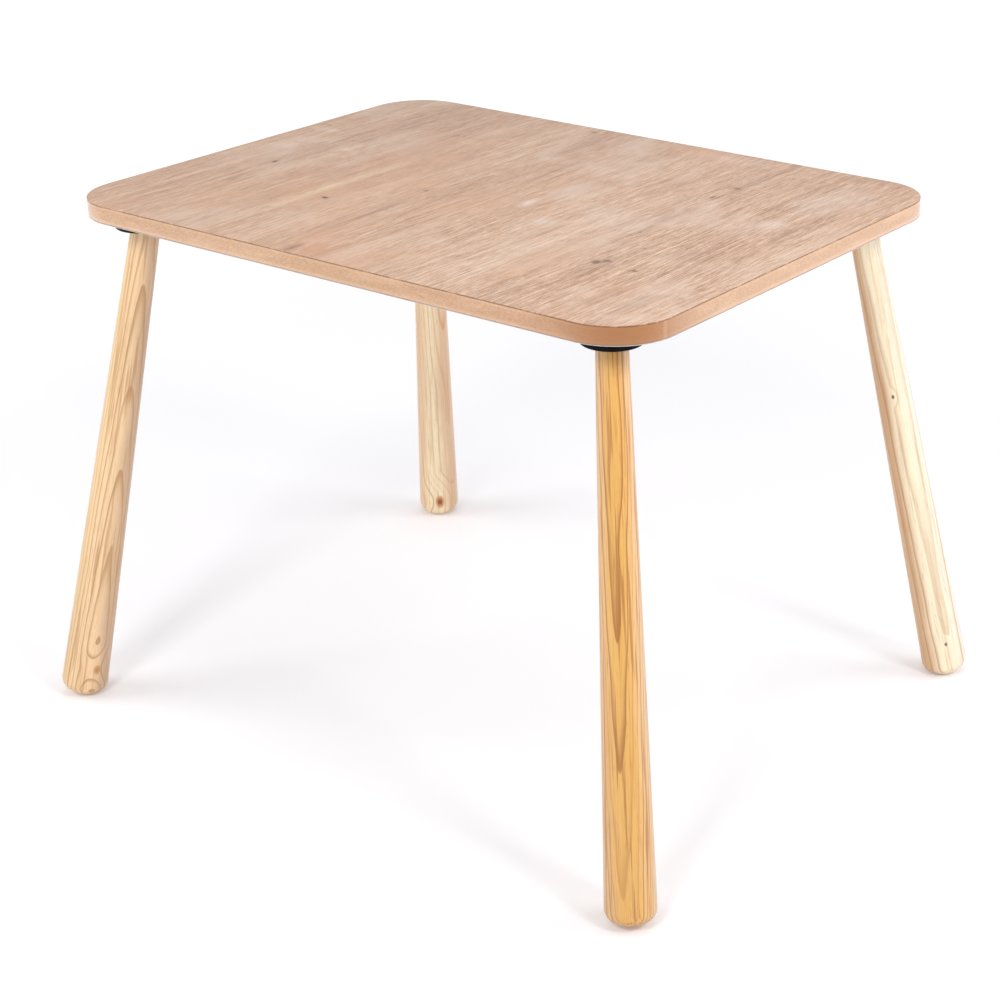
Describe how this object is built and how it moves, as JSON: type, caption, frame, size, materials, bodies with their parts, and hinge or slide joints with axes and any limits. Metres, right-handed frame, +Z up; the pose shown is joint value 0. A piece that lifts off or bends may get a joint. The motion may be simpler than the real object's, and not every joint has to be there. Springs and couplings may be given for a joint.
{
  "type": "kids table",
  "caption": "Low play table with a rounded rectangular laminated top on splayed, tapered round legs that screw into angled blocks.",
  "frame": {"origin": "on the floor, under the middle of the table top", "axes": "+X along the top's long side, +Y along its short side, +Z up"},
  "size_m": [0.7878, 0.6372, 0.55],
  "materials": {
    "oak_decor_laminate": "satin oak print",
    "white_backing_laminate": "plain satin",
    "mdf_core": "lacquered fibreboard",
    "leg_wood": "satin lacquer",
    "block_plastic": "gloss",
    "zinc_steel": "zinc plated"
  },
  "bodies": {
    "table": {"tabletop_core": "mdf_core", "tabletop_top_laminate": "oak_decor_laminate", "tabletop_bottom_laminate": "white_backing_laminate", "front_left_mounting_block": "block_plastic", "front_left_leg_nut": "zinc_steel", "front_left_block_screw_1": "zinc_steel", "front_left_block_screw_2": "zinc_steel", "front_left_block_screw_3": "zinc_steel", "front_left_block_screw_4": "zinc_steel", "front_right_mounting_block": "block_plastic", "front_right_leg_nut": "zinc_steel", "front_right_block_screw_1": "zinc_steel", "front_right_block_screw_2": "zinc_steel", "front_right_block_screw_3": "zinc_steel", "front_right_block_screw_4": "zinc_steel", "back_left_mounting_block": "block_plastic", "back_left_leg_nut": "zinc_steel", "back_left_block_screw_1": "zinc_steel", "back_left_block_screw_2": "zinc_steel", "back_left_block_screw_3": "zinc_steel", "back_left_block_screw_4": "zinc_steel", "back_right_mounting_block": "block_plastic", "back_right_leg_nut": "zinc_steel", "back_right_block_screw_1": "zinc_steel", "back_right_block_screw_2": "zinc_steel", "back_right_block_screw_3": "zinc_steel", "back_right_block_screw_4": "zinc_steel"},
    "front_left_bolt": {"front_left_hanger_bolt": "zinc_steel"},
    "front_left_leg": {"front_left_leg": "leg_wood"},
    "front_right_bolt": {"front_right_hanger_bolt": "zinc_steel"},
    "front_right_leg": {"front_right_leg": "leg_wood"},
    "back_left_bolt": {"back_left_hanger_bolt": "zinc_steel"},
    "back_left_leg": {"back_left_leg": "leg_wood"},
    "back_right_bolt": {"back_right_hanger_bolt": "zinc_steel"},
    "back_right_leg": {"back_right_leg": "leg_wood"}
  },
  "joints": [
    {"name": "front_left_leg_travel", "type": "slide", "parent": "table", "child": "front_left_bolt", "axis": [-0.1534, -0.1645, -0.9744], "range_m": [0, 0.005]},
    {"name": "front_left_leg_turn", "type": "hinge", "parent": "front_left_bolt", "child": "front_left_leg", "pos_m": [-0.2915, -0.2105, 0.512], "axis": [-0.1534, -0.1645, -0.9744], "range_deg": [0, 1440]},
    {"name": "front_right_leg_travel", "type": "slide", "parent": "table", "child": "front_right_bolt", "axis": [0.1534, -0.1645, -0.9744], "range_m": [0, 0.005]},
    {"name": "front_right_leg_turn", "type": "hinge", "parent": "front_right_bolt", "child": "front_right_leg", "pos_m": [0.2915, -0.2105, 0.512], "axis": [0.1534, -0.1645, -0.9744], "range_deg": [0, 1440]},
    {"name": "back_left_leg_travel", "type": "slide", "parent": "table", "child": "back_left_bolt", "axis": [-0.1534, 0.1645, -0.9744], "range_m": [0, 0.005]},
    {"name": "back_left_leg_turn", "type": "hinge", "parent": "back_left_bolt", "child": "back_left_leg", "pos_m": [-0.2915, 0.2105, 0.512], "axis": [-0.1534, 0.1645, -0.9744], "range_deg": [0, 1440]},
    {"name": "back_right_leg_travel", "type": "slide", "parent": "table", "child": "back_right_bolt", "axis": [0.1534, 0.1645, -0.9744], "range_m": [0, 0.005]},
    {"name": "back_right_leg_turn", "type": "hinge", "parent": "back_right_bolt", "child": "back_right_leg", "pos_m": [0.2915, 0.2105, 0.512], "axis": [0.1534, 0.1645, -0.9744], "range_deg": [0, 1440]}
  ],
  "couplings": [
    {"joint": "front_left_leg_travel", "follows": "front_left_leg_turn", "m_per_rad": 0.00019894},
    {"joint": "front_right_leg_travel", "follows": "front_right_leg_turn", "m_per_rad": 0.00019894},
    {"joint": "back_left_leg_travel", "follows": "back_left_leg_turn", "m_per_rad": 0.00019894},
    {"joint": "back_right_leg_travel", "follows": "back_right_leg_turn", "m_per_rad": 0.00019894}
  ]
}
